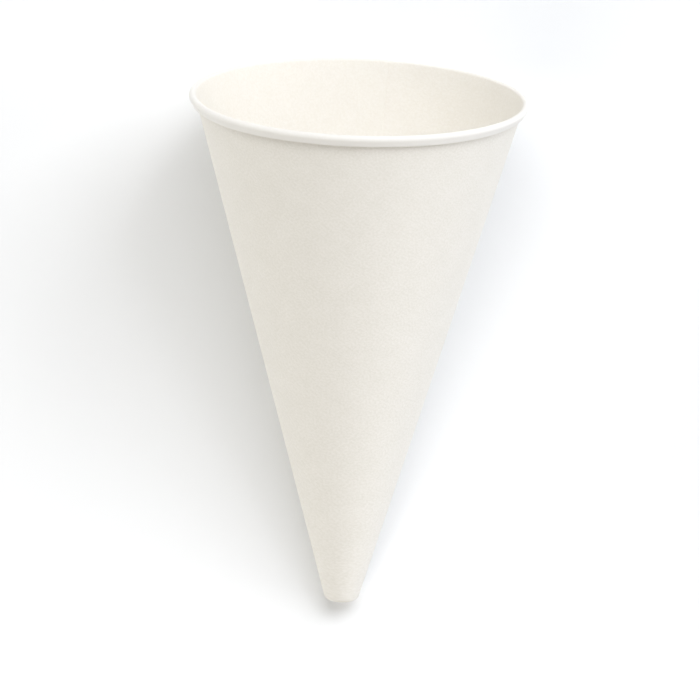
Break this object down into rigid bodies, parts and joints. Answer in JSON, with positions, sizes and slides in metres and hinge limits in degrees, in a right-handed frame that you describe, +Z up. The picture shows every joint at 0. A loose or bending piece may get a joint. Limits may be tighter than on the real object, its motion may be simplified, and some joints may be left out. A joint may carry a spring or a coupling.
{
  "type": "cone paper cup",
  "caption": "Cone-shaped paper drinking cup wound from a single sheet, with a glued lap, an outward-rolled rim and a blunt flat foot.",
  "frame": {"origin": "on the floor that the cup lies on, below the middle of its length", "axes": "+Z up from the floor; +Y from the tip towards the mouth. The cup's own axis rises at 16.3 degrees from the tip to the mouth, and the glued lap is underneath"},
  "size_m": [0.0681, 0.1114, 0.0654],
  "materials": {
    "paper": "matte"
  },
  "bodies": {
    "root": {"cup": "paper"}
  },
  "joints": []
}
